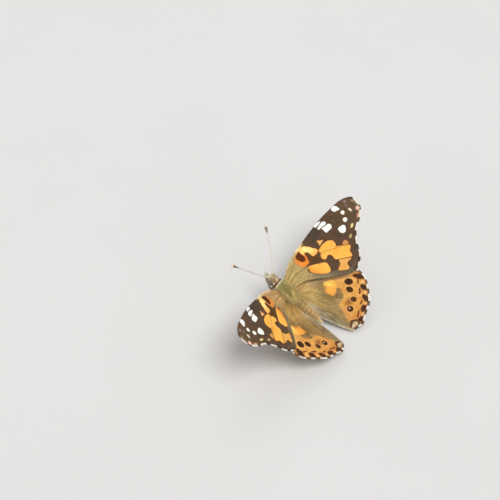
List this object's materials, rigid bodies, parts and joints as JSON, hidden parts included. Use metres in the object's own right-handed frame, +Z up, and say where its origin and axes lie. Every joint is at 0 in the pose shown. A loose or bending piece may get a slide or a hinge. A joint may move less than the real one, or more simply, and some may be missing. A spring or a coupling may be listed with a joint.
{
  "type": "painted lady butterfly",
  "caption": "life-size still model of a painted lady butterfly standing with its wings held open in a shallow V",
  "frame": {"origin": "middle of the base of the whole model's box, on the floor under the abdomen", "axes": "+X is the insect's own left side, -Y is the way the head points, +Z is up"},
  "size_m": [0.06, 0.0338, 0.0211],
  "materials": {
    "wing_scales": "matt dusting of fine scales, orange, black and white above, marbled brown and cream below",
    "body_coat": "soft olive-brown hair over a dark skin",
    "eye": "satin brown compound eye with a fine facet pattern",
    "horn_shell": "satin grey-brown horn with pale rings",
    "leg": "satin horn dusted with pale tan scales"
  },
  "bodies": {
    "root": {"thorax": "body_coat", "abdomen": "body_coat", "head": "body_coat", "tongue": "horn_shell", "eye_left": "eye", "eye_right": "eye", "palp_left": "body_coat", "palp_right": "body_coat", "antenna_left": "horn_shell", "antenna_right": "horn_shell", "antenna_club_left": "horn_shell", "antenna_club_right": "horn_shell", "forewing_left": "wing_scales", "forewing_right": "wing_scales", "hindwing_left": "wing_scales", "hindwing_right": "wing_scales", "foreleg_left": "body_coat", "foreleg_right": "body_coat", "midleg_femur_left": "leg", "midleg_femur_right": "leg", "midleg_tibia_left": "leg", "midleg_tibia_right": "leg", "midleg_tarsus_left": "leg", "midleg_tarsus_right": "leg", "hindleg_femur_left": "leg", "hindleg_femur_right": "leg", "hindleg_tibia_left": "leg", "hindleg_tibia_right": "leg", "hindleg_tarsus_left": "leg", "hindleg_tarsus_right": "leg"}
  },
  "joints": []
}
